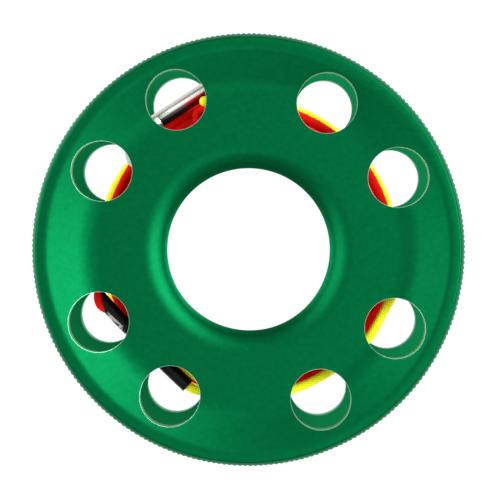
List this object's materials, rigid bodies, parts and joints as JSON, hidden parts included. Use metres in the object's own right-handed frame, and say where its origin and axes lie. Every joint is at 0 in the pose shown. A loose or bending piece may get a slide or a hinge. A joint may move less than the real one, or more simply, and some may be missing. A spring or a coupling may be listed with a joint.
{
  "type": "finger spool",
  "caption": "Green anodised finger spool, lying flat, with wound two-colour line, a splice sleeve and a small sprung bolt clip.",
  "frame": {"origin": "middle of the rear rim's plane, which the spool lies on", "axes": "+Z along the spool's axis, out of the front flange; +Y is up and +X is right when the front is looked at"},
  "size_m": [0.099, 0.099, 0.045],
  "materials": {
    "anodised_green": "fine-turned, satin, green anodised",
    "line_yellow": "braided fluorescent nylon line",
    "line_orange": "braided fluorescent nylon line",
    "sleeve_black": "shrunk polyolefin sleeve with a soft sheen",
    "stainless": "polished stainless steel",
    "spring_wire": "drawn spring wire"
  },
  "bodies": {
    "spool": {"spool_body": "anodised_green", "line_core": "line_yellow", "line_yellow_winding": "line_yellow", "line_yellow_lead": "line_yellow", "splice_sleeve": "sleeve_black", "line_orange_lead": "line_orange", "line_orange_winding": "line_orange", "line_orange_tail": "line_orange", "clip_body": "stainless", "gate_spring": "spring_wire"},
    "gate": {"gate_bolt": "stainless", "thumb_knob": "stainless"}
  },
  "joints": [
    {"name": "gate_slide", "type": "slide", "parent": "spool", "child": "gate", "axis": [0.8276, 0.5614, 0], "range_m": [0, 0.0065], "stiffness_N_per_m": 150, "springref_m": -0.006, "deforming": ["gate_spring"]}
  ]
}
